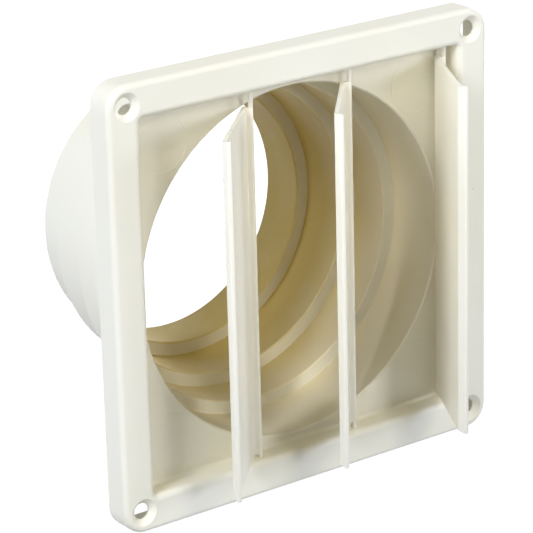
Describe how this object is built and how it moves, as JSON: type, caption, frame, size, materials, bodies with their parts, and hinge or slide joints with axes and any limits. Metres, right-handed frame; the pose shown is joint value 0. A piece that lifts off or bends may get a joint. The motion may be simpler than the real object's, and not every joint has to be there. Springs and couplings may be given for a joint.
{
  "type": "wall vent grille",
  "caption": "Square wall vent grille with swinging back-draught flaps in a sunk front and a stepped round spigot behind that fits several duct sizes.",
  "frame": {"origin": "on the spigot's axis, in the plane of the wall that the back of the rim lies on", "axes": "+Y runs back along the spigot into the wall and -Y is the front; +Z runs up the picture, along the flap pins; +X runs to the picture's right, from each flap's lip to its pins. On a wall the grille is turned a quarter turn so that +X points up and the flaps fall shut."},
  "size_m": [0.15, 0.1158, 0.15],
  "materials": {
    "white_plastic": "satin"
  },
  "bodies": {
    "grille_body": {"grille_body": "white_plastic"},
    "flap_left": {"flap_left": "white_plastic"},
    "flap_middle": {"flap_middle": "white_plastic"},
    "flap_right": {"flap_right": "white_plastic"}
  },
  "joints": [
    {"name": "flap_left_hinge", "type": "hinge", "parent": "grille_body", "child": "flap_left", "pos_m": [-0.019, -0.0056, 0], "axis": [0, 0, 1], "range_deg": [-46, 45.3]},
    {"name": "flap_middle_hinge", "type": "hinge", "parent": "grille_body", "child": "flap_middle", "pos_m": [0.0203, -0.0056, 0], "axis": [0, 0, 1], "range_deg": [-50.8, 40.5]},
    {"name": "flap_right_hinge", "type": "hinge", "parent": "grille_body", "child": "flap_right", "pos_m": [0.0596, -0.0056, 0], "axis": [0, 0, 1], "range_deg": [-64, 27.3]}
  ]
}
